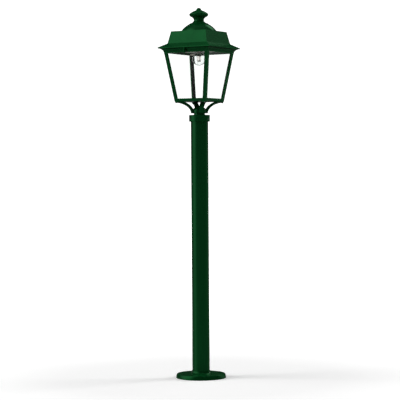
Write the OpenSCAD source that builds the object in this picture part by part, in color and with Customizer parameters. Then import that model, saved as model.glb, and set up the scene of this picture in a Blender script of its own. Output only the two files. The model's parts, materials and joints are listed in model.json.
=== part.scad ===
// Four-sided post lantern on a round post with a round floor flange.
// Millimetres, +Z up. The origin is the centre of the flange's underside, on the ground.
// The four faces are square to X and Y. The roof hinges at the back, on +Y.

/* [Post] */
// Outer diameter of the post tube
post_d = 76; // [72:1:80]
// Wall of the post tube
post_wall = 3; // [2:0.5:4]
// Height of the top of the post collar above the ground
collar_top_z = 1150; // [700:1:1500]
// Outer diameter of the post collar
collar_d = 91; // [88:1:98]
// Height of the post collar
collar_h = 28.5; // [22:0.5:36]

/* [Floor flange] */
// Diameter of the floor flange
flange_d = 219; // [210:1:240]
// Thickness of the floor flange
flange_h = 19; // [16:1:22]
// Pitch circle of the anchor holes
anchor_pcd = 160; // [150:1:170]
// Diameter of the anchor holes
anchor_hole_d = 12; // [8:1:14]
// Number of anchor holes
anchor_count = 4; // [3:1:6]
// Diameter of the cable entry
cable_entry_d = 60; // [40:1:62]

/* [Spigot and cradle] */
// Outer diameter of the spigot
spigot_d = 48; // [46:1:50]
// Open neck between the collar and the cradle
neck_gap = 7.5; // [6:0.5:14]
// Height of the cradle
cradle_h = 50.5; // [48:0.5:54]
// Width of a cradle arm
arm_w = 19; // [14:0.5:20]
// Thickness of a cradle arm
arm_t = 11; // [9:0.5:12]

/* [Lantern frame] */
// Width across the underside of the bottom frame
base_w = 156.8; // [150:0.2:164]
// Width across the underside of the top frame
shoulder_w = 221; // [218:0.5:224]
// Height from the bottom frame's underside to the top frame's underside
frame_h = 210.5; // [190:0.5:240]
// Height of the bottom frame
band_h = 13; // [12:0.5:15]
// Width of a corner post's leg along the glass
leg_w = 15.2; // [14:0.1:17]
// Thickness of the glass
glass_t = 3; // [2.5:0.5:3]

/* [Roof] */
// Width across the eaves
eaves_w = 262; // [260:0.5:264]
// Thickness of the eaves' edge
lip_h = 4.5; // [2.5:0.5:5]
// Rise of the skirt from the eaves to the drum
skirt_h = 17.7; // [16:0.1:20]
// Width across the foot of the drum
drum_foot_w = 199.4; // [198:0.2:202]
// Width across the top of the drum
drum_top_w = 176.4; // [172:0.2:182]
// Height of the drum
drum_h = 53; // [50:0.5:60]
// Radius of the dome's sphere
dome_r = 94; // [92:0.5:97]
// Height of the finial above the drum
finial_top = 104; // [103.5:0.5:110]

/* [Lamp] */
// Diameter of the bulb
bulb_d = 60; // [55:1:62]
// Height of the bulb's lowest point above the bottom frame's underside
bulb_z = 158; // [154:1:160]

/* [Hidden] */
$fn = 64;
fit = 0.05;
paint = "#123f25";
steel = "#9aa0a3";

// Levels
collar_z = collar_top_z - collar_h;
cradle_z = collar_top_z + neck_gap;
base_z = cradle_z + cradle_h;
band_top_z = base_z + band_h;
shoulder_z = base_z + frame_h;

// The post
tube_foot_z = 8;
socket_top_z = flange_h + 12;
collar_cap = 6.8;
tube_top_z = collar_top_z - collar_cap;
spigot_wall = 3;
spigot_foot_z = collar_z - 22;
spigot_top_z = cradle_z + 13.5;
grub_r = 3;

// The cradle: the two edges of an arm are quarters of two ellipses with one centre
hub_r = 30;
arm_foot_r = 36;
arm_run = 78;
arm_rise = cradle_h - 3.7;
arm_end_r = base_w / 2 * sqrt(2) - 3;
hub_top_z = cradle_z + 25;
cradle_grip = 3.5;

// The screws that run along the leaning posts, and how deep they bite
cradle_screw_r = 2.5;
cradle_screw_bite = 13;
cradle_head_r = 4.25;
cradle_head_h = 3;
post_screw_r = 2;
post_screw_l = 17;
post_head_r = 3.4;
post_head_h = 2.6;
post_head_seat = 5;
screw_hole_l = 60;

// The leaning frame
lean_slope = (shoulder_w - base_w) / 2 / frame_h;
post_lean = atan(lean_slope * sqrt(2));
leg_t = 4;
core_w = 10;
pane_edge = core_w + 0.4;
floor_t = 3;
top_h = 8.9;
top_frame_z = shoulder_z + top_h;
flange_in = 98;
flange_t = 1.9;
bead_gap = 1;
span = 400;
tall = 2000;

// The cornice and the roof
eaves = eaves_w / 2;
cove_r = 19.8;
split_low = asin(top_h / cove_r);
split_high = asin((top_h + 1) / cove_r);
roof_z = shoulder_z + top_h + 1;
lip_z = shoulder_z + cove_r;
skirt_z = lip_z + lip_h;
drum_z = skirt_z + skirt_h;
drum_top_z = drum_z + drum_h;
shell_t = 3;
seat_in = 110.5;
dome_z = drum_top_z - 51.5;
dome_t = 2.5;
rod_r = 5;
rod_wall = 2;
rod_top_h = 54;

// The hinge and the closing screw
hinge_y = 121;
hinge_z = shoulder_z + 8;
hinge_r = 5;
pin_r = 2;
hinge_x = 62;
roof_lug_w = 12;
frame_lug_w = 9;
lug_gap = 0.6;
screw_y = -121;
screw_r = 2;

// The reflector and the lampholder
plate_t = 1.5;
plate_z = roof_z + 0.2;
plate_hole_r = 32;
plate_half = seat_in - 1;
stay_xy = 60;
stay_r = 2.5;
boss_h = 9;
bulb_r = bulb_d / 2;
bulb_foot_z = base_z + bulb_z;
bulb_mid_z = bulb_foot_z + bulb_r;
bulb_l = 107;
cap_z = bulb_foot_z + 80;
cap_r = 13;
cap_h = 24;
sleeve_t = 0.9;
holder_r = 21;
holder_z = cap_z + 0.6;
holder_top_z = bulb_foot_z + 126;
neck_r = 12.4;
bulb_wall = 1;
nut_h = 5;

// Half the frame's outer width at a height
function half_at(z) = base_w / 2 + (z - base_z) * lean_slope;

// Points along an arc of a circle or an ellipse
function arc(cx, cy, rx, ry, from, to, steps) = [
    for (i = [0 : steps])
        let (a = from + (to - from) * i / steps)
        [cx + rx * cos(a), cy + ry * sin(a)]
];

// A square shape of four mitred sides. Its child is the section of one side, drawn as
// [distance from the centre, height].
module four_sides() {
    for (turn = [0 : 90 : 270]) rotate([0, 0, turn]) intersection() {
        rotate([90, 0, 0]) linear_extrude(height = span, center = true) children();
        linear_extrude(height = tall) polygon([[0, 0], [span / 2, -span / 2], [span / 2, span / 2]]);
    }
}

// A strip of a leaning face, from `outer` to `inner` in from the frame's outside
module strip(outer, inner, z0, z1) {
    polygon([
        [half_at(z0) - inner, z0],
        [half_at(z0) - outer, z0],
        [half_at(z1) - outer, z1],
        [half_at(z1) - inner, z1]
    ]);
}

// A bar at the +X +Y corner that leans with the frame: in[0] to in[1] in from the X face,
// deep[0] to deep[1] in from the Y face
module leaning_bar(in, deep, z0, z1) {
    intersection() {
        rotate([90, 0, 0]) linear_extrude(height = span, center = true) strip(in[0], in[1], z0, z1);
        rotate([90, 0, 90]) linear_extrude(height = span) strip(deep[0], deep[1], z0, z1);
    }
}

// Puts its children on the leaning line that runs `in` from both faces, at a height
module on_lean(z, in) {
    translate([half_at(z) - in, half_at(z) - in, z])
        rotate([0, 0, 45]) rotate([0, post_lean, 0]) children();
}

// Puts its children at the four corners
module corners() {
    for (turn = [0 : 90 : 270]) rotate([0, 0, turn]) children();
}

// Radial grub screws with a hexagon socket, or their holes
module grubs(angles, z, tip_r, end_r, r = grub_r) {
    for (a = angles) rotate([0, 0, a]) translate([tip_r, 0, z]) rotate([0, 90, 0]) difference() {
        cylinder(h = end_r - tip_r, r = r);
        translate([0, 0, end_r - tip_r - 2.5]) cylinder(h = 3, r = r / 2, $fn = 6);
    }
}

module grub_holes(angles, z, tip_r, end_r) {
    for (a = angles) rotate([0, 0, a]) translate([tip_r, 0, z]) rotate([0, 90, 0])
        cylinder(h = end_r - tip_r, r = grub_r + fit);
}

// ---- Post ----

flange_grubs = [0, 120, 240];
collar_grubs = [0, 120, 240];
hub_grubs = [90, 180];
flange_grub_z = flange_h + 5.5;
collar_grub_z = collar_z + 10;
hub_grub_z = cradle_z + 6;

module base_flange() {
    r = flange_d / 2;
    edge = 4.5;
    fillet = 13;
    tube_r = post_d / 2;
    color(paint) difference() {
        rotate_extrude($fn = 120) polygon(concat(
            [[cable_entry_d / 2, 0], [r - 1, 0], [r, 1], [r - 1.5, flange_h - edge - 2]],
            arc(r - 2.5 - edge, flange_h - edge, edge, edge, 0, 90, 6),
            arc(tube_r + 3 + fillet, flange_h + fillet, fillet, fillet - 0.6, 270, 183, 8),
            [
                [tube_r + 2, socket_top_z],
                [tube_r + fit, socket_top_z],
                [tube_r + fit, tube_foot_z],
                [cable_entry_d / 2, tube_foot_z]
            ]
        ));
        for (i = [0 : anchor_count - 1]) rotate([0, 0, 45 + i * 360 / anchor_count])
            translate([anchor_pcd / 2, 0, -1]) cylinder(h = flange_h + 2, d = anchor_hole_d);
        grub_holes(flange_grubs, flange_grub_z, tube_r - 1, tube_r + fillet + 4);
    }
}

module post_tube() {
    color(paint) translate([0, 0, tube_foot_z]) difference() {
        cylinder(h = tube_top_z - tube_foot_z, d = post_d, $fn = 96);
        translate([0, 0, -1]) cylinder(h = tube_top_z, d = post_d - 2 * post_wall, $fn = 96);
    }
}

module flange_set_screws() {
    color(steel) grubs(flange_grubs, flange_grub_z, post_d / 2 + 2 * fit, post_d / 2 + 8);
}

module post_collar() {
    r = collar_d / 2;
    tube_r = post_d / 2;
    bevel = 1;
    sleeve = 8;
    color(paint) difference() {
        rotate_extrude($fn = 96) polygon([
            [tube_r + fit, collar_z],
            [r - bevel, collar_z],
            [r, collar_z + bevel],
            [r, collar_top_z - bevel],
            [r - bevel, collar_top_z],
            [spigot_d / 2 + fit, collar_top_z],
            [spigot_d / 2 + fit, collar_z - 10],
            [spigot_d / 2 + sleeve, collar_z - 10],
            [spigot_d / 2 + sleeve, tube_top_z],
            [tube_r + fit, tube_top_z]
        ]);
        grub_holes(collar_grubs, collar_grub_z, tube_r - 0.5, r + 1);
    }
}

module collar_set_screws() {
    color(steel) grubs(collar_grubs, collar_grub_z, post_d / 2 + 2 * fit, collar_d / 2 - 0.5);
}

module spigot() {
    r = spigot_d / 2;
    foot_r = post_d / 2 - post_wall - 0.5;
    color(paint) rotate_extrude($fn = 96) polygon([
        [r - spigot_wall, spigot_foot_z],
        [foot_r, spigot_foot_z],
        [foot_r, spigot_foot_z + 5],
        [r, spigot_foot_z + 5],
        [r, spigot_top_z],
        [r - spigot_wall, spigot_top_z]
    ]);
}

// ---- Lantern frame ----

module cradle_arm() {
    cx = arm_foot_r + arm_run;
    rotate([90, 0, 0]) linear_extrude(height = arm_w, center = true) intersection() {
        polygon(concat(
            arc(cx, cradle_z, arm_run, arm_rise, 180, 90, 14),
            arc(cx, cradle_z, arm_run + arm_t, arm_rise + arm_t, 90, 180, 14)
        ));
        translate([0, cradle_z]) square([arm_end_r, cradle_h]);
    }
}

module cradle() {
    bore_r = spigot_d / 2 + fit;
    lead_hole_r = 8;
    color(paint) difference() {
        union() {
            rotate_extrude($fn = 96) polygon(concat(
                [[0, cradle_z], [hub_r - 0.8, cradle_z], [hub_r, cradle_z + 0.8]],
                arc(hub_r - 14, cradle_z + 11, 14, 14, 0, 80, 8),
                [[0, hub_top_z]]
            ));
            intersection() {
                corners() rotate([0, 0, 45]) cradle_arm();
                translate([-base_w / 2, -base_w / 2, cradle_z]) cube([base_w, base_w, cradle_h]);
            }
        }
        translate([0, 0, cradle_z - 1]) cylinder(h = spigot_top_z + 1.5 - cradle_z, r = bore_r, $fn = 96);
        cylinder(h = tall, r = lead_hole_r);
        grub_holes(hub_grubs, hub_grub_z, bore_r - 1, hub_r + 1);
        corners() on_lean(base_z, core_w / 2) {
            cylinder(h = screw_hole_l, r = cradle_screw_r + 2 * fit, center = true);
            translate([0, 0, -cradle_h - cradle_grip]) cylinder(h = cradle_h, r = cradle_head_r + 0.35);
        }
        gland_hole();
    }
}

module hub_set_screws() {
    color(steel) grubs(hub_grubs, hub_grub_z, spigot_d / 2 + 3 * fit, hub_r - 0.4);
}

module bottom_frame() {
    color(paint) difference() {
        union() {
            four_sides() polygon([
                [0, base_z],
                [half_at(base_z), base_z],
                [half_at(band_top_z), band_top_z],
                [half_at(band_top_z) - leg_t, band_top_z],
                [half_at(base_z + floor_t) - leg_t, base_z + floor_t],
                [0, base_z + floor_t]
            ]);
            corners() leaning_bar([0, core_w], [0, core_w], base_z, band_top_z);
        }
        corners() on_lean(base_z, core_w / 2)
            cylinder(h = screw_hole_l, r = cradle_screw_r + fit, center = true);
        gland_hole();
    }
}

module corner_post() {
    hole_l = 15;
    color(paint) difference() {
        union() {
            leaning_bar([0, leg_t], [0, leg_w], band_top_z, shoulder_z);
            leaning_bar([0, leg_w], [0, leg_t], band_top_z, shoulder_z);
            leaning_bar([0, core_w], [0, core_w], band_top_z, shoulder_z);
        }
        on_lean(band_top_z, core_w / 2) cylinder(h = 2 * hole_l, r = cradle_screw_r + fit, center = true);
        on_lean(shoulder_z, core_w / 2) cylinder(h = 2 * hole_l, r = post_screw_r + fit, center = true);
    }
}

module corner_post_back_right() { corner_post(); }
module corner_post_back_left() { rotate([0, 0, 90]) corner_post(); }
module corner_post_front_left() { rotate([0, 0, 180]) corner_post(); }
module corner_post_front_right() { rotate([0, 0, 270]) corner_post(); }

// One pane, in the +X face. It stands in the bottom frame and ends under the top frame's flange.
module pane() {
    z0 = base_z + floor_t + 0.2;
    z1 = top_frame_z - flange_t - 0.3;
    color("#dfeee8", 0.35) intersection() {
        rotate([90, 0, 0]) linear_extrude(height = span, center = true)
            strip(leg_t, leg_t + glass_t, z0, z1);
        rotate([90, 0, 90]) linear_extrude(height = span) polygon([
            [pane_edge - half_at(z0), z0],
            [half_at(z0) - pane_edge, z0],
            [half_at(z1) - pane_edge, z1],
            [pane_edge - half_at(z1), z1]
        ]);
    }
}

module glass_right() { pane(); }
module glass_back() { rotate([0, 0, 90]) pane(); }
module glass_left() { rotate([0, 0, 180]) pane(); }
module glass_front() { rotate([0, 0, 270]) pane(); }

module glazing_beads() {
    depth = [leg_t + glass_t, core_w];
    width = [pane_edge, leg_w];
    z0 = band_top_z + bead_gap;
    z1 = shoulder_z - bead_gap;
    color("#26302b") corners() {
        leaning_bar(depth, width, z0, z1);
        leaning_bar(width, depth, z0, z1);
    }
}

// A lug with a bore along X, on the hinge line
module hinge_lug(x, width) {
    translate([x - width / 2, hinge_y, hinge_z]) rotate([0, 90, 0]) cylinder(h = width, r = hinge_r);
}

module pin_bore(r) {
    translate([-span / 2, hinge_y, hinge_z]) rotate([0, 90, 0]) cylinder(h = span, r = r);
}

frame_lug_x = hinge_x - roof_lug_w / 2 - lug_gap - frame_lug_w / 2;
frame_lug_x2 = hinge_x + roof_lug_w / 2 + lug_gap + frame_lug_w / 2;
closing_lug_z = shoulder_z + 3.3;
closing_lug_t = 4;
closing_lug_r = 6;

module top_frame() {
    head_z = shoulder_z + post_head_seat;
    root_y = shoulder_w / 2 - 1;
    color(paint) difference() {
        union() {
            four_sides() polygon(concat(
                arc(eaves, shoulder_z, cove_r, cove_r, 180, 180 - split_low, 4),
                [
                    [flange_in, top_frame_z],
                    [flange_in, top_frame_z - flange_t],
                    [half_at(top_frame_z - flange_t) - leg_t, top_frame_z - flange_t],
                    [half_at(shoulder_z) - leg_t, shoulder_z]
                ]
            ));
            corners() leaning_bar([0, core_w], [0, core_w], shoulder_z, top_frame_z - 1);
            for (side = [-1, 1]) for (x = [frame_lug_x, frame_lug_x2]) {
                hinge_lug(side * x, frame_lug_w);
                translate([side * x - frame_lug_w / 2, root_y, hinge_z - hinge_r])
                    cube([frame_lug_w, hinge_y - root_y, hinge_r]);
            }
            translate([0, screw_y, closing_lug_z]) cylinder(h = closing_lug_t, r = closing_lug_r);
            translate([-closing_lug_r, screw_y, closing_lug_z])
                cube([2 * closing_lug_r, -root_y - screw_y, closing_lug_t]);
        }
        pin_bore(pin_r + fit);
        translate([0, screw_y, closing_lug_z - 1]) cylinder(h = closing_lug_t + 2, r = screw_r + fit);
        corners() on_lean(shoulder_z, core_w / 2)
            cylinder(h = screw_hole_l, r = post_screw_r + fit, center = true);
        corners() on_lean(head_z, core_w / 2)
            cylinder(h = screw_hole_l, r = post_head_r + 4 * fit);
    }
}

module post_screws() {
    socket_h = 1;
    color(steel) corners() on_lean(shoulder_z + post_head_seat, core_w / 2) {
        translate([0, 0, -post_screw_l]) cylinder(h = post_screw_l, r = post_screw_r);
        difference() {
            cylinder(h = post_head_h, r = post_head_r);
            translate([0, 0, post_head_h - socket_h])
                cylinder(h = 2 * socket_h, r = post_screw_r * 0.8, $fn = 6);
        }
    }
}

module cradle_screws() {
    color(steel) corners() on_lean(base_z, core_w / 2) translate([0, 0, -cradle_grip]) {
        cylinder(h = cradle_grip + band_h + cradle_screw_bite, r = cradle_screw_r);
        translate([0, 0, -cradle_head_h]) cylinder(h = cradle_head_h, r = cradle_head_r);
    }
}

module roof_gasket() {
    strip_in = 109;
    strip_w = 3.6;
    strip_t = 0.9;
    color("#1d1f1e") four_sides() translate([strip_in, top_frame_z]) square([strip_w, strip_t]);
}

module hinge_pins() {
    pin_l = roof_lug_w + 2 * (frame_lug_w + lug_gap) + 2;
    color(steel) for (side = [-1, 1]) translate([side * hinge_x - pin_l / 2, hinge_y, hinge_z])
        rotate([0, 90, 0]) cylinder(h = pin_l, r = pin_r);
}

module closing_screw() {
    head_h = 5.5;
    head_r = 5;
    washer_h = 1;
    shank_l = 16.5;
    color(paint) translate([0, screw_y, closing_lug_z - 0.3]) {
        cylinder(h = shank_l, r = screw_r);
        translate([0, 0, -washer_h]) cylinder(h = washer_h, r = head_r - 1);
        translate([0, 0, -head_h]) cylinder(h = head_h - washer_h, r = head_r);
    }
}

lead_in = 15;
lead_r = 2.5;
lead_low_z = base_z + floor_t + 7;
lead_high_z = shoulder_z - 1.5;
gland_r = 4.5;
gland_stub = 2;
gland_head_r = 7.5;
gland_head_h = 5;

// Puts its children on the floor of the lantern where the lead comes up, in the back left corner
module at_gland() {
    at = half_at(base_z + floor_t) - lead_in;
    translate([-at, at, base_z + floor_t]) children();
}

module gland_hole() {
    at_gland() translate([0, 0, -floor_t - gland_stub - fit])
        cylinder(h = floor_t + gland_stub + 1, r = gland_r + fit);
}

module cable_gland() {
    color("#2b2b2b") at_gland() difference() {
        union() {
            translate([0, 0, -floor_t - gland_stub]) cylinder(h = floor_t + gland_stub + 1, r = gland_r);
            cylinder(h = gland_head_h, r = gland_head_r, $fn = 6);
        }
        translate([0, 0, -band_h]) cylinder(h = 2 * band_h, r = lead_r + 2 * fit);
    }
}

module supply_lead() {
    color("#242424") rotate([0, 0, 90]) on_lean(lead_low_z, lead_in)
        cylinder(h = (lead_high_z - lead_low_z) / cos(post_lean), r = lead_r);
}

module terminal_block() {
    at = half_at(shoulder_z) - lead_in;
    size = [14, 10, 7];
    color("#e6e3da") translate([-at - size[0] / 2 + 2, at - size[1] / 2 - 2, shoulder_z])
        difference() {
            cube([size[0], size[1], top_h - flange_t]);
            for (x = [0.3, 0.7]) translate([size[0] * x, size[1] / 2, -1]) cylinder(h = 5, r = 1.2);
        }
}

// ---- Roof ----

module roof_shell() {
    drum_foot = drum_foot_w / 2;
    drum_top = drum_top_w / 2;
    drum_lean = (drum_foot - drum_top) / drum_h;
    web_w = 7;
    closing_top_z = lip_z + 1.5;
    color(paint) difference() {
        union() {
            four_sides() polygon(concat(
                [[seat_in, roof_z]],
                arc(eaves, shoulder_z, cove_r, cove_r, 180 - split_high, 90, 8),
                [
                    [eaves, skirt_z],
                    [drum_foot, drum_z],
                    [drum_top, drum_top_z],
                    [0, drum_top_z],
                    [0, drum_top_z - shell_t],
                    [drum_top - shell_t + drum_lean * shell_t, drum_top_z - shell_t],
                    [drum_foot - shell_t, drum_z - 2.5],
                    [eaves - 8, lip_z + 2.8],
                    [seat_in, roof_z + 3]
                ]
            ));
            for (side = [-1, 1]) {
                hinge_lug(side * hinge_x, roof_lug_w);
                translate([side * hinge_x - roof_lug_w / 2, hinge_y - web_w / 2, hinge_z])
                    cube([roof_lug_w, web_w, lip_z - hinge_z]);
            }
            translate([0, screw_y, roof_z + 1.2]) cylinder(h = closing_top_z - roof_z, r = 5);
            for (x = [-stay_xy, stay_xy]) for (y = [-stay_xy, stay_xy])
                translate([x, y, drum_top_z - boss_h]) cylinder(h = boss_h - 1, r = 5);
        }
        pin_bore(pin_r + 2 * fit);
        translate([0, screw_y, roof_z]) cylinder(h = closing_top_z - roof_z, r = screw_r + 0.35);
        cylinder(h = tall, r = rod_r + 4 * fit);
        for (x = [-stay_xy, stay_xy]) for (y = [-stay_xy, stay_xy])
            translate([x, y, drum_top_z - boss_h - 1]) cylinder(h = boss_h - 1, r = stay_r + fit);
    }
}

module roof_dome() {
    inner = dome_r - dome_t;
    foot = asin((drum_top_z - dome_z) / dome_r);
    foot_in = asin((drum_top_z - dome_z) / inner);
    crown = 84;
    color(paint) rotate_extrude($fn = 96) polygon(concat(
        arc(0, dome_z, dome_r, dome_r, foot, crown, 14),
        arc(0, dome_z, inner, inner, crown, foot_in, 14)
    ));
}

// The finial: flared foot that sits on the dome, neck, cup with a sharp rim, sloped lid, ball tip
module finial() {
    seat_r = dome_r + fit;
    foot_r = 41;
    neck_z = drum_top_z + 50.5;
    neck_flare = [30, 17];
    rim_z = drum_top_z + 75.5;
    tip_z = drum_top_z + finial_top;
    finial_neck_r = 22;
    rim_r = 41.8;
    lid_r = 17.5;
    cup_r = 24;
    cup_drop = 13.5;
    tip_r = 11.5;
    color(paint) difference() {
        rotate_extrude($fn = 72) polygon(concat(
            arc(0, dome_z, seat_r, seat_r, 90, acos(foot_r / seat_r), 8),
            arc(finial_neck_r + neck_flare[0], neck_z, neck_flare[0], neck_flare[1], 250, 180, 8),
            arc(finial_neck_r + 20, neck_z, 20, 14, 180, 135, 4),
            arc(cup_r, rim_z, rim_r - cup_r, cup_drop, -70, 0, 6),
            [[rim_r - 0.5, rim_z + 1.8], [lid_r + 8, rim_z + 12.6], [lid_r, rim_z + 15.4]],
            [[tip_r + 1.2, tip_z - tip_r + 0.9]],
            arc(0, tip_z - tip_r, tip_r, tip_r, 8, 90, 8)
        ));
        translate([0, 0, drum_top_z]) cylinder(h = rod_top_h + 2, r = rod_r + fit);
    }
}

module centre_rod() {
    z0 = holder_top_z - 8;
    color(steel) translate([0, 0, z0]) difference() {
        cylinder(h = drum_top_z + rod_top_h - z0, r = rod_r);
        translate([0, 0, -1]) cylinder(h = span, r = rod_r - rod_wall);
    }
}

module rod_nuts() {
    color(steel) for (z = [holder_top_z, drum_top_z - shell_t - nut_h]) translate([0, 0, z])
        difference() {
            cylinder(h = nut_h, r = 9.8, $fn = 6);
            translate([0, 0, -1]) cylinder(h = nut_h + 2, r = rod_r + fit);
        }
}

module reflector_plate() {
    color("#eeeeea") difference() {
        translate([-plate_half, -plate_half, plate_z])
            cube([2 * plate_half, 2 * plate_half, plate_t]);
        translate([0, 0, plate_z - 1]) cylinder(h = plate_t + 2, r = plate_hole_r);
        for (x = [-stay_xy, stay_xy]) for (y = [-stay_xy, stay_xy])
            translate([x, y, plate_z - 1]) cylinder(h = plate_t + 2, r = stay_r + fit);
    }
}

module reflector_rods() {
    head_h = 1.6;
    color(steel) for (x = [-stay_xy, stay_xy]) for (y = [-stay_xy, stay_xy])
        translate([x, y, plate_z - head_h]) {
            cylinder(h = head_h, r = 4.5);
            cylinder(h = drum_top_z - 2.5 - plate_z + head_h, r = stay_r);
        }
}

// ---- Lampholder and bulb ----

module lampholder_body() {
    bore_r = cap_r + fit + sleeve_t + fit;
    color("#e9e6de") difference() {
        translate([0, 0, holder_z]) {
            cylinder(h = holder_top_z - 8 - holder_z, r = holder_r);
            cylinder(h = holder_top_z - holder_z, r = 14);
            cylinder(h = 5, r = holder_r + 1.5);
        }
        translate([0, 0, holder_z - 1]) cylinder(h = cap_h + 6, r = bore_r);
        cylinder(h = tall, r = rod_r + fit);
    }
}

module lampholder_sleeve() {
    color("#b9944a") translate([0, 0, holder_z + 1]) difference() {
        cylinder(h = cap_h - 1, r = cap_r + fit + sleeve_t);
        translate([0, 0, -1]) cylinder(h = cap_h + 2, r = cap_r + fit);
    }
}

module lampholder_contact() {
    color("#b9944a") translate([0, 0, bulb_foot_z + bulb_l + 0.1]) cylinder(h = 1.6, r = 7);
}

// The bulb's outside: a sphere that draws in to the neck
function bulb_line(inset) = concat(
    arc(0, bulb_mid_z, bulb_r - inset, bulb_r - inset, -90, 33, 16),
    arc(37, bulb_mid_z + 46, 37 - neck_r + inset, 32 + inset, 220, 180, 6),
    [[neck_r - inset, cap_z + 3]]
);

module bulb_glass() {
    inner = bulb_line(bulb_wall);
    color("#eef4f2", 0.4) rotate_extrude($fn = 72) polygon(concat(
        bulb_line(0),
        [for (i = [len(inner) - 1 : -1 : 0]) inner[i]]
    ));
}

module bulb_cap() {
    wall = 0.5;
    shoulder_h = 4;
    end_r = 9;
    color("#c9c6bd") translate([0, 0, cap_z]) rotate_extrude() polygon([
        [cap_r - wall, 0],
        [cap_r, 0],
        [cap_r, cap_h - shoulder_h],
        [end_r, cap_h],
        [0, cap_h],
        [0, cap_h - wall],
        [end_r - wall, cap_h - wall],
        [cap_r - wall, cap_h - shoulder_h - wall]
    ]);
}

module bulb_contact() {
    color("#8f8a7c") translate([0, 0, cap_z + cap_h]) cylinder(h = bulb_l - 80 - cap_h, r = 4.5);
}

// The glass stem that carries the filament
module bulb_stem() {
    tip_z = bulb_foot_z + 17;
    color("#d8d3cf", 0.6) rotate_extrude() polygon(concat(
        arc(0, tip_z + 5, 9.5, 5, -90, 0, 4),
        [[10.5, cap_z - 20], [11.2, cap_z + 2], [0, cap_z + 2]]
    ));
}

module bulb_filament() {
    z = bulb_foot_z + 15.6;
    color("#4c4a47") {
        translate([-8, 0, z]) rotate([0, 90, 0]) cylinder(h = 16, r = 0.5);
        for (side = [-1, 1]) translate([side * 7.5, 0, z]) cylinder(h = 3.2, r = 0.4);
    }
}

base_flange();
post_tube();
flange_set_screws();
post_collar();
collar_set_screws();
spigot();
cradle();
hub_set_screws();
bottom_frame();
corner_post_back_right();
corner_post_back_left();
corner_post_front_left();
corner_post_front_right();
glass_right();
glass_back();
glass_left();
glass_front();
glazing_beads();
top_frame();
post_screws();
cradle_screws();
roof_gasket();
hinge_pins();
closing_screw();
cable_gland();
supply_lead();
terminal_block();
roof_shell();
roof_dome();
finial();
centre_rod();
rod_nuts();
reflector_plate();
reflector_rods();
lampholder_body();
lampholder_sleeve();
lampholder_contact();
bulb_glass();
bulb_cap();
bulb_contact();
bulb_stem();
bulb_filament();
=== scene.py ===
"""A post lantern: a straight round post on a floor flange, with a four-sided glazed lantern on top.

Lengths are in metres, +Z is up and the post's axis is the Z axis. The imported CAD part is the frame.
Pieces that need soft edges or finer detail are built here, in millimetres, and stand for their nodes.
"""

import json
import math

import bmesh
import bpy
from mathutils import Matrix, Vector

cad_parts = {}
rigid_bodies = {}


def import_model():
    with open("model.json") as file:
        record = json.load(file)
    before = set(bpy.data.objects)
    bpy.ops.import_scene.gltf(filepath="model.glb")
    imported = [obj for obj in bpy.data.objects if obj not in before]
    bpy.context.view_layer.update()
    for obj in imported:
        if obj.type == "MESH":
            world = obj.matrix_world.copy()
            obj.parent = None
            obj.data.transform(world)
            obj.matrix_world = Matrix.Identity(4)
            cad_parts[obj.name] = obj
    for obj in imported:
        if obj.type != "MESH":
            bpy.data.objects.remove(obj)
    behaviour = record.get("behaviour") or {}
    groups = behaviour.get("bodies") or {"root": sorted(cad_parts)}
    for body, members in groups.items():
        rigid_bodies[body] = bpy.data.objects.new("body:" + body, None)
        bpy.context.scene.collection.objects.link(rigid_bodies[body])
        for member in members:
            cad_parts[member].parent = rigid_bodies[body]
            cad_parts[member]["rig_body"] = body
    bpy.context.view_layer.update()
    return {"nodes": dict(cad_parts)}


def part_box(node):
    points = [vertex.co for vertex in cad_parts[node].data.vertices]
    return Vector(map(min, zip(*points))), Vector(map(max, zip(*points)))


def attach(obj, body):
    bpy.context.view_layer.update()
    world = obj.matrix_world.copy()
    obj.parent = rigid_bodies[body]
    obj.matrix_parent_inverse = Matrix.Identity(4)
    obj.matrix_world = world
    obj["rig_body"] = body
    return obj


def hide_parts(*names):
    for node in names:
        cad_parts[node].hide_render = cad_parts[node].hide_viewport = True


MM = 0.001
# The colour output of a Mix node, among its outputs for numbers and vectors
MIXED_COLOUR = 2

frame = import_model()
nodes = frame["nodes"]


# ---- Helpers for materials ----


def colour(code):
    """An sRGB hex colour as linear RGBA."""
    channels = [int(code[i : i + 2], 16) / 255 for i in (1, 3, 5)]
    linear = [c / 12.92 if c <= 0.04045 else ((c + 0.055) / 1.055) ** 2.4 for c in channels]
    return (*linear, 1.0)


def add(tree, kind, settings=None, links=None):
    """Adds one node: settings go to its sockets or its own properties, links run into its sockets."""
    made = tree.nodes.new(kind)
    sockets = {s.name: s for s in reversed(made.inputs)} | {s.identifier: s for s in made.inputs}
    for name, value in (settings or {}).items():
        if name in sockets:
            sockets[name].default_value = value
        else:
            setattr(made, name, value)
    sockets = {s.name: s for s in reversed(made.inputs)} | {s.identifier: s for s in made.inputs}
    for name, source in (links or {}).items():
        tree.links.new(source, sockets[name])
    return made


def per_mm(size):
    """The scale of a pattern whose repeat is `size` millimetres, on coordinates in metres."""
    return 1 / (size * MM)


def new_material(name):
    """An empty node material with its shader and its place coordinates."""
    made = bpy.data.materials.new(name)
    made.use_nodes = True
    tree = made.node_tree
    tree.nodes.clear()
    shader = add(tree, "ShaderNodeBsdfPrincipled")
    add(tree, "ShaderNodeOutputMaterial", links={"Surface": shader.outputs["BSDF"]})
    place = add(tree, "ShaderNodeTexCoord").outputs["Object"]
    return made, tree, shader, place


def noise(tree, place, size, detail, stretch=None):
    """Noise with a grain of `size` millimetres, drawn out along an axis if `stretch` is given."""
    if stretch:
        place = add(
            tree, "ShaderNodeMapping", {"Scale": stretch}, {"Vector": place}
        ).outputs["Vector"]
    made = add(
        tree,
        "ShaderNodeTexNoise",
        {"Scale": per_mm(size), "Detail": detail},
        {"Vector": place},
    )
    return made.outputs["Fac"]


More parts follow.
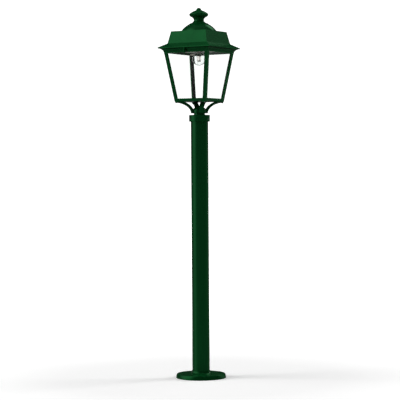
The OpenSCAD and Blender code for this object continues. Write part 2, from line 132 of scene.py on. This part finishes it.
def spread(tree, value, low, high, start=0.3, end=0.7):
    """Maps a pattern's range start..end onto low..high."""
    return add(
        tree,
        "ShaderNodeMapRange",
        {"From Min": start, "From Max": end, "To Min": low, "To Max": high},
        {"Value": value},
    ).outputs["Result"]


def between(tree, factor, dark, light):
    """A colour that runs from dark to light with the factor."""
    return add(
        tree,
        "ShaderNodeMix",
        {"data_type": "RGBA", "A_Color": colour(dark), "B_Color": colour(light)},
        {"Factor_Float": factor},
    ).outputs[MIXED_COLOUR]


def bumped(tree, layers):
    """Stacks bumps: (height, depth in millimetres) from the coarsest to the finest."""
    normal = None
    for height, depth in layers:
        links = {"Height": height}
        if normal:
            links["Normal"] = normal
        normal = add(
            tree, "ShaderNodeBump", {"Strength": 1.0, "Distance": depth * MM}, links
        ).outputs["Normal"]
    return normal


def finish_shader(tree, shader, settings, links):
    """Gives a shader its constants and runs the patterns into its other sockets."""
    for name, value in settings.items():
        shader.inputs[name].default_value = value
    for name, source in links.items():
        tree.links.new(source, shader.inputs[name])


# ---- Materials ----


def powder_coat(name, flow):
    """Polyester powder coat in dark green, baked on aluminium.

    The eye sees a smooth skin with a faint orange peel, a slight drift in depth of colour
    and a green tint in its reflections from the flake under the clear top.
    """
    made, tree, shader, place = new_material(name)
    cloud = noise(tree, place, 55, 3, flow)
    peel = noise(tree, place, 3.2, 2)
    wave = noise(tree, place, 16, 2, flow)
    grit = noise(tree, place, 0.9, 1)
    base = between(tree, spread(tree, cloud, 0, 1), "#045325", "#075F2B")
    gloss = spread(tree, wave, 0.17, 0.24)
    finish_shader(
        tree,
        shader,
        {"Metallic": 0.62, "IOR": 1.5, "Specular Tint": colour("#CFF3DC")},
        {
            "Base Color": base,
            "Roughness": gloss,
            "Normal": bumped(tree, [(wave, 0.03), (peel, 0.012), (grit, 0.002)]),
        },
    )
    return made


def clear_pane(name, tint, ior, smear):
    """Drawn or blown clear glass: almost no colour, with faint smears in its polish."""
    made, tree, shader, place = new_material(name)
    film = noise(tree, place, 38, 3)
    finish_shader(
        tree,
        shader,
        {"Base Color": colour(tint), "Transmission Weight": 1.0, "IOR": ior},
        {"Roughness": spread(tree, film, 0.0, smear, 0.5, 0.75)},
    )
    return made


def metal(name, dark, light, roughness, grain):
    """Bare or plated metal with tool marks `grain` millimetres apart."""
    made, tree, shader, place = new_material(name)
    marks = noise(tree, place, grain, 3)
    stain = noise(tree, place, 9, 2)
    finish_shader(
        tree,
        shader,
        {"Metallic": 1.0},
        {
            "Base Color": between(tree, spread(tree, stain, 0, 1), dark, light),
            "Roughness": spread(tree, marks, roughness - 0.07, roughness + 0.09),
            "Normal": bumped(tree, [(marks, 0.01)]),
        },
    )
    return made


def moulded(name, dark, light, roughness, grain, depth, ior=1.5):
    """A matt or satin non-metal: rubber, plastic, enamel or porcelain, by its grain and gloss."""
    made, tree, shader, place = new_material(name)
    skin = noise(tree, place, grain, 3)
    cloud = noise(tree, place, 24, 2)
    finish_shader(
        tree,
        shader,
        {"IOR": ior},
        {
            "Base Color": between(tree, spread(tree, cloud, 0, 1), dark, light),
            "Roughness": spread(tree, skin, roughness - 0.05, roughness + 0.06),
            "Normal": bumped(tree, [(skin, depth)]),
        },
    )
    return made


materials = {
    "painted_casting": powder_coat("powder_coated_casting", None),
    "painted_tube": powder_coat("powder_coated_tube", (1, 1, 0.15)),
    # drawn glass: clear, with sharp weak reflections and hardly any tint
    "clear_glass": clear_pane("drawn_window_glass", "#FCFFFD", 1.4, 0.0),
    # blown glass: clear, a little less even, dark where its edge is seen along the wall
    "bulb_clear_glass": clear_pane("blown_bulb_glass", "#FCFDFD", 1.42, 0.02),
    # pressed glass: faintly pink and smeared, so that it reads as a pale core
    "stem_glass": clear_pane("pressed_lead_glass", "#F0E6E4", 1.54, 0.12),
    # turned A2 steel: grey, with fine rings from the tool
    "stainless_fastener": metal("turned_stainless_steel", "#A4A6A6", "#BEBFBF", 0.3, 0.6),
    # EPDM dyed dark green to go with the paint: dull, with a faint bloom
    "glazing_rubber": moulded("extruded_epdm_rubber", "#062416", "#0A2E1C", 0.66, 1.1, 0.03),
    # white stoved enamel on steel: glossy, slightly wavy
    "reflector_enamel": moulded("stoved_white_enamel", "#E4E4DF", "#F1F1EC", 0.22, 7, 0.03),
    # glazed porcelain: warm white with a deep gloss
    "porcelain": moulded("glazed_porcelain", "#E9E5DB", "#F4F1E9", 0.14, 5, 0.02),
    # rolled brass: warm yellow, slightly stained
    "contact_brass": metal("rolled_brass", "#A98945", "#C9A75C", 0.32, 0.8),
    # nickel plate: a warm pale grey with a soft shine
    "bulb_nickel": metal("nickel_plated_brass", "#B7B2A7", "#CCC8BE", 0.26, 0.7),
    # drawn tungsten: dark grey and dull
    "filament_wire": metal("drawn_tungsten_wire", "#54514E", "#6B6763", 0.42, 0.3),
    # PVC sheath: near black, satin, with a fine grain
    "lead_sheath": moulded("pvc_cable_sheath", "#0D110F", "#141916", 0.55, 1.4, 0.02, 1.53),
    # nylon: black on the gland, ivory on the terminal block, both softly satin
    "gland_plastic": moulded("moulded_black_nylon", "#202122", "#2B2C2D", 0.42, 0.8, 0.02, 1.53),
    "terminal_plastic": moulded("moulded_ivory_nylon", "#DAD5C6", "#E9E5D9", 0.4, 0.9, 0.02, 1.53),
}

frame_slot = {name: node.data.materials[0].name for name, node in nodes.items()}
for name, node in nodes.items():
    node.data.materials[0] = materials[frame_slot[name]]

# Lamps shine through the clear glazing and the bulb, so these throw no shadow
GLAZED = ("clear_glass", "bulb_clear_glass", "stem_glass")
for name, node in nodes.items():
    node.visible_shadow = frame_slot[name] not in GLAZED


# ---- Helpers for shapes ----


def stand_in(node, name, mesh):
    """Links a mesh made in place as the piece that stands for a node, on its body and in its slot."""
    slot = frame_slot[node]
    made = bpy.data.objects.new(name, mesh)
    bpy.context.scene.collection.objects.link(made)
    mesh.materials.clear()
    mesh.materials.append(materials[slot])
    made.visible_shadow = slot not in GLAZED
    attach(made, nodes[node]["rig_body"])
    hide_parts(node)
    return made


def mesh_from(name, verts, faces):
    """A smooth mesh from its points and faces, its poles joined and its faces turned outwards."""
    mesh = bpy.data.meshes.new(name)
    mesh.from_pydata(verts, [], faces)
    work = bmesh.new()
    work.from_mesh(mesh)
    bmesh.ops.remove_doubles(work, verts=work.verts, dist=1e-7)
    bmesh.ops.recalc_face_normals(work, faces=work.faces)
    work.to_mesh(mesh)
    work.free()
    for face in mesh.polygons:
        face.use_smooth = True
    return mesh


def arc(r, z, rx, rz, start, end, steps):
    """Points of an elliptical arc in a profile, in millimetres, from one angle to another."""
    points = []
    for k in range(steps + 1):
        a = math.radians(start + (end - start) * k / steps)
        points.append((r + rx * math.cos(a), z + rz * math.sin(a)))
    return points


def finely(profile, step, closed=False):
    """A profile with points no further apart than `step` millimetres."""
    points = []
    ends = profile[1:] + (profile[:1] if closed else [])
    for (r0, z0), (r1, z1) in zip(profile, ends):
        cuts = max(1, math.ceil(math.hypot(r1 - r0, z1 - z0) / step))
        points += [(r0 + (r1 - r0) * k / cuts, z0 + (z1 - z0) * k / cuts) for k in range(cuts)]
    return points if closed else points + profile[-1:]


def turned(name, profile, spokes, closed=False, shape=None, axis=(0.0, 0.0)):
    """A lathe shape from (radius, height) in millimetres; `shape(radius, height, angle)` cuts it.

    An open profile starts and ends on the axis, a closed one runs round a ring.
    """
    verts = []
    for r, z in profile:
        for k in range(spokes):
            a = 2 * math.pi * k / spokes
            cut = shape(r, z, a) if shape else r
            verts.append(
                ((axis[0] + cut * math.cos(a)) * MM, (axis[1] + cut * math.sin(a)) * MM, z * MM)
            )
    rows = len(profile)
    faces = []
    for row in range(rows if closed else rows - 1):
        here, there = row * spokes, (row + 1) % rows * spokes
        for k in range(spokes):
            n = (k + 1) % spokes
            faces.append((here + k, here + n, there + n, there + k))
    return mesh_from(name, verts, faces)


def wire(path, radius):
    """Points and faces of a round wire along a path, with closed ends, all in metres."""
    sides = 8
    verts, faces = [], []
    side = Vector((0.0, 1.0, 0.0))
    for i, point in enumerate(path):
        run = (path[min(i + 1, len(path) - 1)] - path[max(i - 1, 0)]).normalized()
        side = (side - run * side.dot(run)).normalized()
        other = run.cross(side)
        for k in range(sides):
            a = 2 * math.pi * k / sides
            verts.append(point + radius * (side * math.cos(a) + other * math.sin(a)))
    for row in range(len(path) - 1):
        for k in range(sides):
            n = (k + 1) % sides
            at = row * sides
            faces.append((at + k, at + n, at + sides + n, at + sides + k))
    faces.append(tuple(range(sides)))
    faces.append(tuple((len(path) - 1) * sides + k for k in range(sides)))
    return verts, faces


def wires(name, runs):
    """One mesh from several wires: (path, radius) each."""
    verts, faces = [], []
    for path, radius in runs:
        more, sides = wire(path, radius)
        faces += [tuple(i + len(verts) for i in face) for face in sides]
        verts += more
    return mesh_from(name, verts, faces)


def ease(value, low, high):
    """0 below low, 1 above high and a smooth rise between."""
    t = min(1.0, max(0.0, (value - low) / (high - low)))
    return t * t * (3 - 2 * t)


def apply_modifiers(obj):
    """Bakes an object's modifiers into its mesh."""
    graph = bpy.context.evaluated_depsgraph_get()
    mesh = bpy.data.meshes.new_from_object(obj.evaluated_get(graph), depsgraph=graph)
    obj.modifiers.clear()
    obj.data = mesh


# Points closer than this are one, and faces flatter than this to each other are one face
SAME_POINT = 2e-6
SAME_FACE = math.radians(0.6)
# Edges sharper than this are rounded, in two steps
SHARP_EDGE = math.radians(30)
EDGE_STEPS = 2


def softened(node, width):
    """A piece as it leaves the tumbler or the paint: the CAD node's shape, its hard edges rounded."""
    mesh = nodes[node].data.copy()
    work = bmesh.new()
    work.from_mesh(mesh)
    bmesh.ops.remove_doubles(work, verts=work.verts, dist=SAME_POINT)
    bmesh.ops.dissolve_limit(work, angle_limit=SAME_FACE, verts=work.verts, edges=work.edges)
    work.to_mesh(mesh)
    work.free()
    if mesh.has_custom_normals:
        mesh.attributes.remove(mesh.attributes["custom_normal"])
    for edge in mesh.edges:
        edge.use_edge_sharp = False
    for face in mesh.polygons:
        face.use_smooth = True
    made = stand_in(node, node + "_soft", mesh)
    bevel = made.modifiers.new("edges", "BEVEL")
    bevel.width = width * MM
    bevel.segments = EDGE_STEPS
    bevel.limit_method = "ANGLE"
    bevel.angle_limit = SHARP_EDGE
    made.modifiers.new("normals", "WEIGHTED_NORMAL").keep_sharp = False
    apply_modifiers(made)


CORNERS = ("back_right", "back_left", "front_left", "front_right")
# Widths of the softened edges, in millimetres: castings, then pressed, turned and moulded parts
SOFT_EDGES = {
    "base_flange": 0.9,
    "post_collar": 0.7,
    "cradle": 1.1,
    "bottom_frame": 0.8,
    "top_frame": 0.7,
    "roof_shell": 0.9,
    "roof_dome": 0.6,
    **{f"corner_post_{corner}": 0.7 for corner in CORNERS},
    "flange_set_screws": 0.25,
    "collar_set_screws": 0.25,
    "hub_set_screws": 0.25,
    "post_screws": 0.35,
    "cradle_screws": 0.4,
    "hinge_pins": 0.25,
    "rod_nuts": 0.4,
    "cable_gland": 0.4,
    "terminal_block": 0.5,
    "reflector_plate": 0.3,
    "reflector_rods": 0.3,
    "spigot": 0.5,
}
for name, width in SOFT_EDGES.items():
    softened(name, width)


# ---- Turned, cast and blown pieces, in millimetres ----


def level(node, end):
    """The height of a CAD node's lowest (0) or highest (1) point."""
    return round(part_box(node)[end].z / MM, 2)


def ripple(angle):
    """0 to 1 and back, once in a turn."""
    return 0.5 - 0.5 * math.cos(angle)


def window(z, in_start, in_end, out_start, out_end):
    """A pattern's strength along a piece: it comes in, stays full and goes out."""
    return ease(z, in_start, in_end) * (1 - ease(z, out_start, out_end))


ROD_BORE = 5.05


def finial():
    """A cast knob: a foot that sits on the dome, a lobed cup under a lobed lid, and a ball."""
    tip = level("finial", 1)
    drum_top = tip - 104
    neck, rim = drum_top + 50.5, drum_top + 75.5
    ball_r = 11.5
    dome_seat = 94.05
    foot_angle = 64.15
    bore_angle = 90 - math.degrees(math.asin(ROD_BORE / dome_seat))
    bore_end = drum_top + 56
    lobes = 12
    lobe_depth = 0.085
    lid_share = 0.7

    def lobed(r, z, angle):
        """Gadroons, full at the lobes' middles, that fade at the neck, the rim and the ball."""
        cup = window(z, neck + 2, neck + 10, rim - 4, rim)
        lid = window(z, rim + 1.5, rim + 5, rim + 11, rim + 15) * lid_share
        valley = 1 - abs(math.cos(lobes / 2 * angle)) ** 0.6
        return r * (1 - lobe_depth * (cup + lid) * valley)

    outside = (
        arc(0, drum_top - 51.5, dome_seat, dome_seat, bore_angle, foot_angle, 10)
        + arc(52, neck, 30, 17, 250, 180, 16)
        + arc(42, neck, 20, 14, 178, 135, 8)
        + arc(24, rim, 17.8, 13.5, -70, 0, 16)
        + [(41.3, rim + 1.8), (36, rim + 6.2), (25.5, rim + 12.6), (20.5, rim + 14.6)]
        + [(17.5, rim + 15.4), (12.7, tip - ball_r + 0.9)]
        + arc(0, tip - ball_r, ball_r, ball_r, 8, 90, 14)
    )
    profile = finely([(0.0, bore_end), (ROD_BORE, bore_end)] + outside, 1.6)
    stand_in("finial", "finial_lobed", turned("finial_lobed", profile, 144, shape=lobed))


def closing_screw():
    """A thumb screw: a knurled head under a washer, on a shank with an M4 thread."""
    foot = level("closing_screw", 0)
    seat = foot + 5.5
    tip = seat + 16.5
    knurls, knurl_depth = 28, 0.35
    pitch, thread_depth = 0.7, 0.4
    head_r, washer_r, shank_r = 5.0, 4.0, 2.0
    corner = 0.7

    def cut(r, z, angle):
        """Knurls round the head, and the thread round the shank."""
        if r > 3:
            strength = window(z, foot + 0.7, foot + 1.2, seat - 1.3, seat - 1.0)
            return r - knurl_depth * strength * ripple(knurls * angle)
        strength = ease(z, seat + 1.8, seat + 2.8) * min(1.0, r / 1.5)
        return r - thread_depth * strength * ripple(2 * math.pi * z / pitch - angle)

    profile = (
        [(0.0, foot), (2.2, foot)]
        + arc(head_r - corner, foot + corner, corner, corner, -90, 0, 4)
        + arc(head_r - corner, seat - 1.7, corner, corner, 0, 90, 4)
        + [(washer_r, seat - 1.0), (washer_r, seat), (shank_r, seat)]
        + [(shank_r, tip - 0.6), (1.4, tip), (0.0, tip)]
    )
    mesh = turned(
        "closing_screw_knurled", finely(profile, 0.12), 112, shape=cut, axis=(0.0, -121.0)
    )
    stand_in("closing_screw", "closing_screw_knurled", mesh)


def bulb_envelope(foot, cap_foot):
    """A thin blown bulb: a sphere that draws in to its neck, where the cap holds it."""
    wall = 1.0

    def line(inset):
        r = 30.0 - inset
        return (
            arc(0, foot + 30, r, r, -90, 33, 48)
            + arc(37, foot + 76, 24.6 + inset, 32 + inset, 220, 180, 20)
            + [(12.4 - inset, cap_foot + 3)]
        )

    profile = line(0) + line(wall)[::-1]
    stand_in("bulb_glass", "bulb_envelope", turned("bulb_envelope", profile, 96))


def bulb_stem(foot, cap_foot):
    """The stem: pressed glass, round at its foot, that carries the filament up from the cap."""
    profile = (
        arc(0, foot + 22, 9.5, 5, -90, 0, 12)
        + [(10.5, cap_foot - 20), (11.2, cap_foot + 2), (0.0, cap_foot + 2)]
    )
    mesh = turned("bulb_stem_pressed", finely(profile, 2), 64)
    stand_in("bulb_stem", "bulb_stem_pressed", mesh)


def bulb_cap(foot):
    """A thin metal cap, rolled with a round thread inside and out."""
    pitch, depth = 3.62, 1.0
    outside = [(12.9, foot), (13.0, foot + 0.4), (13.0, foot + 20), (12.2, foot + 21.6)]
    end_cap = [(9.0, foot + 24), (0.0, foot + 24), (0.0, foot + 23.5), (8.5, foot + 23.5)]
    inside = [(12.5, foot + 19.5)]

    def rolled(r, z, angle):
        """The thread, on the cap's wall only."""
        if r <= 9:
            return r
        strength = window(z, foot + 4, foot + 6, foot + 18, foot + 20)
        return r - depth * strength * ripple(2 * math.pi * z / pitch - angle)

    profile = finely([(12.5, foot)] + outside + end_cap + inside, 0.35, closed=True)
    mesh = turned("bulb_cap_rolled", profile, 96, closed=True, shape=rolled)
    stand_in("bulb_cap", "bulb_cap_rolled", mesh)


def bulb_filament(foot):
    """A coil of tungsten across two lead wires, kept from sagging by two hooks."""
    coil_z = foot + 15.6
    coil_r, coil_turns, coil_half = 0.36, 34, 7.5
    points_a_turn = 12
    lead_h, lead_r = 3.5, 0.35
    hook_h, hook_r, hook_x = 1.8, 0.12, 2.5
    wire_r = 0.11
    coil = []
    for k in range(coil_turns * points_a_turn + 1):
        turn = k / points_a_turn
        along = turn / coil_turns * 2 - 1
        sag = 0.35 * math.cos(3 * math.pi * along / 2) ** 2
        a = 2 * math.pi * turn
        height = coil_z - sag + coil_r * math.sin(a)
        coil.append(Vector((coil_half * along, coil_r * math.cos(a), height)) * MM)

    def held(x, high):
        """A wire from the stem straight down to the coil."""
        steps = 6
        return [Vector((x, 0.0, coil_z + high * (1 - k / steps))) * MM for k in range(steps + 1)]

    runs = [(coil, wire_r * MM)]
    runs += [(held(x, lead_h), lead_r * MM) for x in (-coil_half, coil_half)]
    runs += [(held(x, hook_h), hook_r * MM) for x in (-hook_x, hook_x)]
    stand_in("bulb_filament", "bulb_filament_coiled", wires("bulb_filament_coiled", runs))


def lampholder():
    """A fluted porcelain shell with soft glazed edges, open below for the cap."""
    foot, top = level("lampholder_body", 0), level("lampholder_body", 1)
    cap_bore, bore_top = 14.0, foot + 29
    flutes, flute_depth = 30, 0.9
    lip, shoulder = 1, 2

    def fluted(r, z, angle):
        """Upright flutes round the shell, above its foot ring and below its shoulder."""
        if r <= 20:
            return r
        strength = window(z, foot + 6.5, foot + 10, top - 14, top - 10)
        return r - flute_depth * strength * abs(math.cos(flutes / 2 * angle)) ** 0.7

    profile = (
        [(cap_bore, foot)]
        + arc(21.5, foot + lip, lip, lip, -90, 0, 4)
        + arc(21.5, foot + 4, lip, lip, 0, 90, 4)
        + [(21.0, foot + 5.2)]
        + arc(19.0, top - 10, shoulder, shoulder, 0, 90, 6)
        + [(14.0, top - 8)]
        + arc(13.0, top - lip, lip, lip, 0, 90, 4)
        + [(ROD_BORE, top), (ROD_BORE, bore_top), (cap_bore, bore_top)]
    )
    profile = finely(profile, 1.2, closed=True)
    mesh = turned("lampholder_fluted", profile, 180, closed=True, shape=fluted)
    stand_in("lampholder_body", "lampholder_fluted", mesh)


finial()
closing_screw()
bulb_foot, cap_foot = level("bulb_glass", 0), level("bulb_cap", 0)
bulb_envelope(bulb_foot, cap_foot)
bulb_stem(bulb_foot, cap_foot)
bulb_cap(cap_foot)
bulb_filament(bulb_foot)
lampholder()


# ---- Floor ----


def floor_piece():
    """A wide round floor of rings, seamless and pale."""
    radii = (0.5, 2.0, 8.0, 40.0)
    spokes = 48
    verts = [(0.0, 0.0, 0.0)]
    faces = []
    for r in radii:
        for k in range(spokes):
            a = 2 * math.pi * k / spokes
            verts.append((r * math.cos(a), r * math.sin(a), 0.0))
    for k in range(spokes):
        faces.append((0, 1 + k, 1 + (k + 1) % spokes))
    for ring in range(len(radii) - 1):
        start = 1 + ring * spokes
        for k in range(spokes):
            n = (k + 1) % spokes
            faces.append((start + k, start + spokes + k, start + spokes + n, start + n))
    mesh = bpy.data.meshes.new("studio_floor")
    mesh.from_pydata(verts, [], faces)
    made = bpy.data.objects.new("studio_floor", mesh)
    bpy.context.scene.collection.objects.link(made)
    return made


floor = floor_piece()
floor_paint, tree, shader, place = new_material("matt_studio_floor")
tone = spread(tree, noise(tree, place, 900, 2), 0.0, 1.0)
# The paper glows a little near the post and fully some metres off, so that it has no horizon; the
# dimmer glow near the post is painted shade, a grey ground shadow round the post's foot
PAINTED_SHADE_GLOW, FAR_GLOW = 0.27, 1.0
NEAR, FAR = 0.6, 3.2
away = add(
    tree, "ShaderNodeVectorMath", {"operation": "LENGTH"}, {"Vector": place}
).outputs["Value"]
finish_shader(
    tree,
    shader,
    {"IOR": 1.45, "Specular IOR Level": 0.0, "Roughness": 0.9},
    {
        "Base Color": between(tree, tone, "#F2F2F2", "#F6F6F6"),
        # painted shade: the glow is weakest near the post and rises with distance from it
        "Emission Strength": spread(tree, away, PAINTED_SHADE_GLOW, FAR_GLOW, NEAR, FAR),
    },
)
shader.inputs["Emission Color"].default_value = (1, 1, 1, 1)
floor.data.materials.append(floor_paint)
floor.visible_glossy = False
floor.visible_diffuse = False
floor.visible_transmission = False


# ---- Camera ----

AZIMUTH = math.radians(31.57)
DISTANCE = 7.07947
EYE_HEIGHT = 0.92689
PITCH_DOWN = math.radians(1.2)
ROLL = math.radians(-0.37)

lens = bpy.data.cameras.new("studio_camera")
lens.sensor_width = 36
lens.lens = 145.68
lens.clip_end = 200
camera = bpy.data.objects.new("studio_camera", lens)
bpy.context.scene.collection.objects.link(camera)
camera.matrix_world = (
    Matrix.Translation((DISTANCE * math.sin(AZIMUTH), -DISTANCE * math.cos(AZIMUTH), EYE_HEIGHT))
    @ Matrix.Rotation(AZIMUTH, 4, "Z")
    @ Matrix.Rotation(math.pi / 2 - PITCH_DOWN, 4, "X")
    @ Matrix.Rotation(ROLL, 4, "Z")
)
bpy.context.scene.camera = camera
bpy.context.scene.view_settings.view_transform = "Standard"


# ---- Light ----


def toward(azimuth, elevation):
    """A direction, by its turn to the right of the camera's side and its height."""
    a, e = AZIMUTH + math.radians(azimuth), math.radians(elevation)
    return Vector((math.sin(a) * math.cos(e), -math.cos(a) * math.cos(e), math.sin(e)))


floor_only = bpy.data.collections.new("floor_only")
floor_only.objects.link(floor)


def floor_sun(name, azimuth, elevation, strength, width):
    """A far, wide lamp that lights only the floor, so that the post's soft shadow shows on it."""
    data = bpy.data.lights.new(name, "SUN")
    data.energy = strength
    data.angle = math.radians(width)
    made = bpy.data.objects.new(name, data)
    bpy.context.scene.collection.objects.link(made)
    made.rotation_euler = toward(azimuth, elevation).to_track_quat("Z", "Y").to_euler()
    made.light_linking.receiver_collection = floor_only


floor_sun("floor_lamp_left", -86, 22, 2.0, 34)
floor_sun("floor_lamp_right", 108, 24, 1.8, 30)

world = bpy.data.worlds.new("studio")
bpy.context.scene.world = world
world.use_nodes = True
tree = world.node_tree
tree.nodes.clear()
direction = add(tree, "ShaderNodeTexCoord").outputs["Generated"]

# Softboxes on a dim room: azimuth, elevation, full radius, faded radius, level
SOFTBOXES = (
    (-80, 30, 12, 46, 0.85),
    (118, 14, 8, 26, 0.22),
    (144, 42, 4, 14, 1.2),
    (0, 88, 12, 44, 0.16),
)
FLOOR_LEVEL, ROOM_LEVEL = 0.12, 0.01
# What the pale floor throws back up at matt surfaces
THROWN_LEVEL = 0.5
height = add(tree, "ShaderNodeSeparateXYZ", links={"Vector": direction}).outputs["Z"]
total = spread(tree, height, FLOOR_LEVEL, ROOM_LEVEL, -0.06, 0.04)
for azimuth, elevation, full, faded, level in SOFTBOXES:
    aim = add(
        tree,
        "ShaderNodeVectorMath",
        {"operation": "DOT_PRODUCT", "Vector_001": toward(azimuth, elevation)},
        {"Vector": direction},
    ).outputs["Value"]
    box = add(
        tree,
        "ShaderNodeMapRange",
        {
            "interpolation_type": "SMOOTHSTEP",
            "From Min": math.cos(math.radians(faded)),
            "From Max": math.cos(math.radians(full)),
            "To Min": 0.0,
            "To Max": level,
        },
        {"Value": aim},
    ).outputs["Result"]
    total = add(
        tree, "ShaderNodeMath", {"operation": "ADD"}, {"Value": total, "Value_001": box}
    ).outputs["Value"]

# Light that has met a matt surface sees the floor bright below it; a mirror sees it dim
path = add(tree, "ShaderNodeLightPath")
thrown = add(
    tree,
    "ShaderNodeMath",
    {"operation": "MULTIPLY", "use_clamp": True},
    {
        "Value": path.outputs["Diffuse Depth"],
        "Value_001": spread(tree, height, THROWN_LEVEL, 0.0, -0.12, 0.04),
    },
).outputs["Value"]
total = add(
    tree, "ShaderNodeMath", {"operation": "ADD"}, {"Value": total, "Value_001": thrown}
).outputs["Value"]

# The backdrop is white to the eye, straight on or through glass, and dark to all that it lights
bounces = add(
    tree,
    "ShaderNodeMath",
    {"operation": "ADD"},
    {"Value": path.outputs["Diffuse Depth"], "Value_001": path.outputs["Glossy Depth"]},
).outputs["Value"]
lit = add(
    tree, "ShaderNodeMath", {"operation": "GREATER_THAN", "Value_001": 0.5}, {"Value": bounces}
).outputs["Value"]
backdrop = add(tree, "ShaderNodeBackground", {"Color": (1, 1, 1, 1), "Strength": 1.3})
room = add(tree, "ShaderNodeBackground", {"Color": (1, 1, 1, 1)}, {"Strength": total})
mixed = add(
    tree,
    "ShaderNodeMixShader",
    links={"Fac": lit, "Shader": backdrop.outputs[0], "Shader_001": room.outputs[0]},
)
add(tree, "ShaderNodeOutputWorld", links={"Surface": mixed.outputs[0]})
